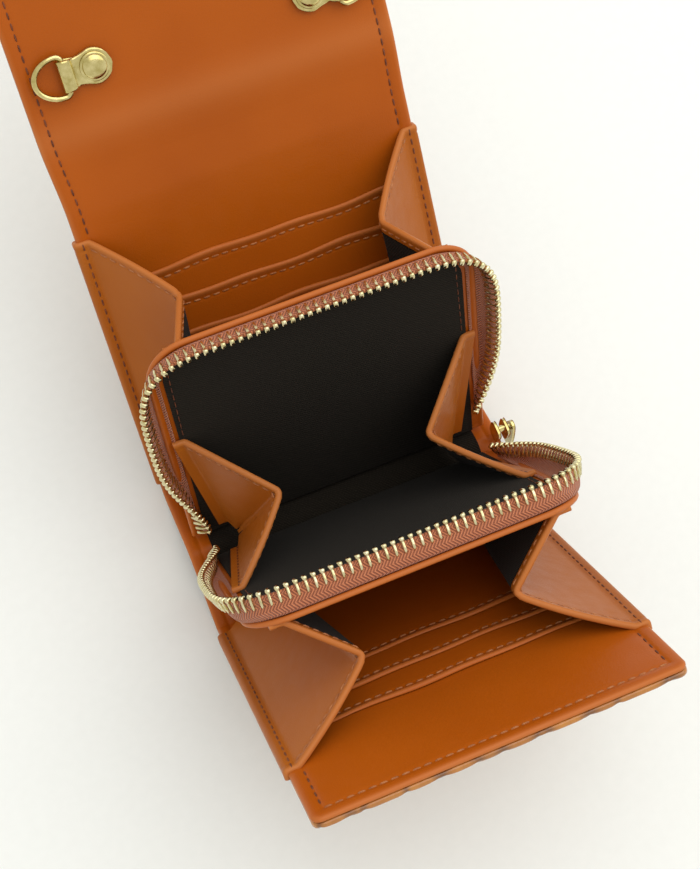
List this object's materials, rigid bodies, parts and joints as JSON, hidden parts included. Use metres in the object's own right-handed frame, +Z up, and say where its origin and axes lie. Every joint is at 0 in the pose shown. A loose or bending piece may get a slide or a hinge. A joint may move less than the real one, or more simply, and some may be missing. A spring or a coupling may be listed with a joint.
{
  "type": "chain wallet",
  "caption": "Compact flap wallet in tan leather with a croc-embossed outside, a zipped middle compartment, pleated pockets, card slots and D-rings, standing open.",
  "frame": {"origin": "middle of the flat underside of the cover's back fold, on the surface the wallet stands on", "axes": "+X to the right along the width, -Y to the front, +Z up"},
  "size_m": [0.1116, 0.2579, 0.1703],
  "materials": {
    "croc_leather": "glossy croc-embossed patent leather, amber brown",
    "tan_leather": "smooth saddle-tan leather, satin",
    "gusset_leather": "thin smooth light tan leather",
    "dark_twill": "dark grey-brown twill lining",
    "zip_tape": "terracotta herringbone zip tape",
    "pale_gold": "polished pale gold",
    "stiffener": "grey bonded leather board, hidden"
  },
  "bodies": {
    "root": {"base_back_outer": "croc_leather", "base_back_lining": "tan_leather", "zip_back_wall": "tan_leather", "zip_back_lining": "dark_twill", "zip_back_tape": "zip_tape", "zip_back_teeth": "pale_gold", "zip_gusset_left": "gusset_leather", "zip_gusset_right": "gusset_leather", "zip_gusset_lining_left": "dark_twill", "zip_gusset_lining_right": "dark_twill"},
    "zip_front": {"base_front_outer": "croc_leather", "base_front_lining": "tan_leather", "zip_front_wall": "tan_leather", "zip_front_lining": "dark_twill", "zip_front_tape": "zip_tape", "zip_front_teeth": "pale_gold", "front_gusset_left": "gusset_leather", "front_gusset_right": "gusset_leather", "front_gusset_lining_left": "dark_twill", "front_gusset_lining_right": "dark_twill"},
    "front_panel": {"front_outer": "croc_leather", "front_board": "stiffener", "front_lining": "tan_leather", "front_card_slot_1": "tan_leather", "front_card_slot_2": "tan_leather", "front_card_slot_3": "tan_leather", "snap_stud": "pale_gold"},
    "back_panel": {"back_outer": "croc_leather", "back_board": "stiffener", "back_lining": "tan_leather", "back_card_slot_1": "tan_leather", "back_card_slot_2": "tan_leather", "back_card_slot_3": "tan_leather", "back_gusset_left": "gusset_leather", "back_gusset_right": "gusset_leather", "back_gusset_lining_left": "dark_twill", "back_gusset_lining_right": "dark_twill"},
    "flap_top": {"flap_top_outer": "croc_leather", "flap_top_lining": "tan_leather", "ring_tab_left": "pale_gold", "ring_tab_right": "pale_gold", "ring_rivet_left": "pale_gold", "ring_rivet_right": "pale_gold"},
    "flap_end": {"flap_end_outer": "croc_leather", "flap_end_lining": "tan_leather", "snap_socket": "pale_gold"},
    "slider": {"zip_slider": "pale_gold"},
    "puller": {"zip_pull": "pale_gold"},
    "ring_left": {"d_ring_left": "pale_gold"},
    "ring_right": {"d_ring_right": "pale_gold"}
  },
  "joints": [
    {"name": "zip_open", "type": "hinge", "parent": "root", "child": "zip_front", "pos_m": [0, -0.02054, 0.012], "axis": [-1, 0, 0], "range_deg": [-10, 40], "deforming": ["zip_gusset_left", "zip_gusset_right", "zip_gusset_lining_left", "zip_gusset_lining_right"]},
    {"name": "front_pocket_open", "type": "hinge", "parent": "zip_front", "child": "front_panel", "pos_m": [0, -0.0443, 0.0032], "axis": [-1, 0, 0], "range_deg": [-20, 11], "deforming": ["front_gusset_left", "front_gusset_right", "front_gusset_lining_left", "front_gusset_lining_right"]},
    {"name": "back_pocket_open", "type": "hinge", "parent": "root", "child": "back_panel", "pos_m": [0, 0.0012, 0.0032], "axis": [1, 0, 0], "range_deg": [-20, 19], "deforming": ["back_gusset_left", "back_gusset_right", "back_gusset_lining_left", "back_gusset_lining_right"]},
    {"name": "flap_fold", "type": "hinge", "parent": "back_panel", "child": "flap_top", "pos_m": [0, 0.08519, 0.0925], "axis": [1, 0, 0], "range_deg": [-35, 50]},
    {"name": "flap_end_fold", "type": "hinge", "parent": "flap_top", "child": "flap_end", "pos_m": [0, 0.11746, 0.12264], "axis": [1, 0, 0], "range_deg": [-40, 62]},
    {"name": "slider_travel", "type": "slide", "parent": "root", "child": "slider", "axis": [0, 0, 1], "range_m": [0, 0.005]},
    {"name": "pull_swing", "type": "hinge", "parent": "slider", "child": "puller", "pos_m": [0.0556, -0.02144, 0.0192], "axis": [0, -1, 0], "range_deg": [0, 100]},
    {"name": "ring_left_swing", "type": "hinge", "parent": "flap_top", "child": "ring_left", "pos_m": [-0.0401, 0.0953, 0.10541], "axis": [0, 0.7314, 0.682], "range_deg": [0, 140]},
    {"name": "ring_right_swing", "type": "hinge", "parent": "flap_top", "child": "ring_right", "pos_m": [0.0401, 0.0953, 0.10541], "axis": [0, -0.7314, -0.682], "range_deg": [0, 140]}
  ]
}
